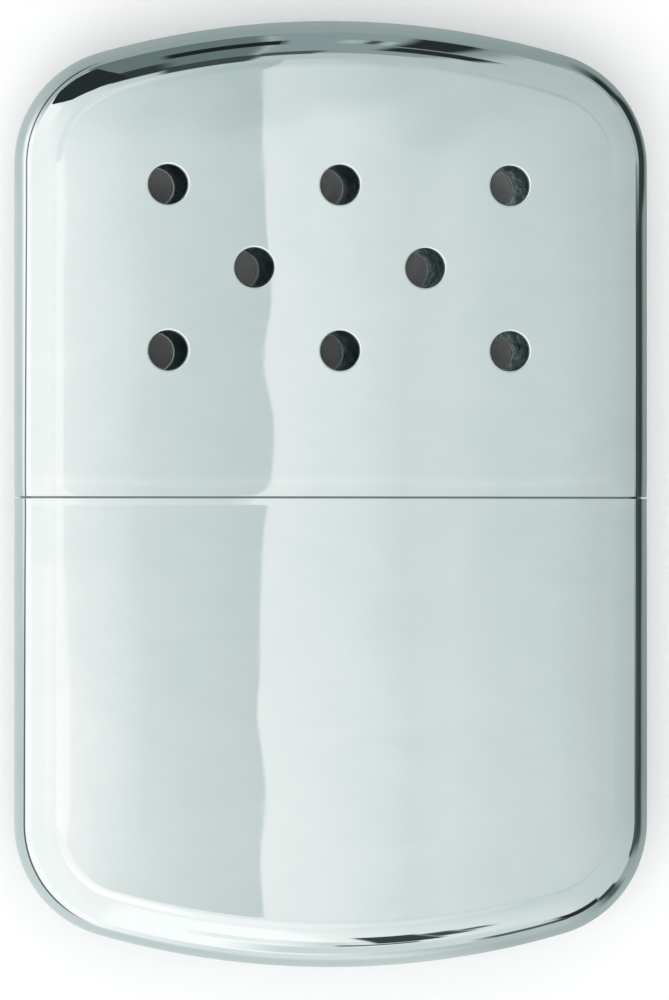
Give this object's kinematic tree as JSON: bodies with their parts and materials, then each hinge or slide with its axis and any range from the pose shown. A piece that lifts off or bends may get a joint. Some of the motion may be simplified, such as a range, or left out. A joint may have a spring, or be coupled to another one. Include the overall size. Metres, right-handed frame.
{
  "type": "catalytic hand warmer",
  "caption": "Flat pocket hand warmer: drawn chrome tank with cotton packing, collar and filler neck, push-on catalytic burner, and a vented lid that pulls off over the collar.",
  "frame": {"origin": "bottom centre of the whole object's box as it lies on its back: under the middle of the closed case", "axes": "+Y along the case's height towards the lid's end, +X across its width, to the right as seen from the front, +Z out of the front face"},
  "size_m": [0.0668, 0.099, 0.013],
  "materials": {
    "polished_chrome": "polished",
    "collar_chrome": "satin",
    "neck_nickel": "satin",
    "burner_steel": "satin",
    "wire_gauze": "satin",
    "catalyst_fibre": "matte",
    "wool_felt": "matte",
    "cotton_wadding": "matte"
  },
  "bodies": {
    "tank": {"tank_shell": "polished_chrome", "tank_collar": "collar_chrome", "filler_neck": "neck_nickel", "wick_felt": "wool_felt", "packing_felt": "wool_felt", "packing_wad_1": "cotton_wadding", "packing_wad_2": "cotton_wadding", "packing_wad_3": "cotton_wadding", "packing_wad_4": "cotton_wadding"},
    "lid": {"lid_shell": "polished_chrome"},
    "burner": {"burner_skirt": "burner_steel", "burner_tray": "burner_steel", "lower_gauze": "wire_gauze", "catalyst_mat": "catalyst_fibre", "upper_gauze": "wire_gauze", "burner_cage": "burner_steel"}
  },
  "joints": [
    {"name": "lid_lift", "type": "slide", "parent": "tank", "child": "lid", "axis": [0, 1, 0], "range_m": [0, 0.045]},
    {"name": "burner_lift", "type": "slide", "parent": "tank", "child": "burner", "axis": [0, 1, 0], "range_m": [0, 0.015]}
  ]
}
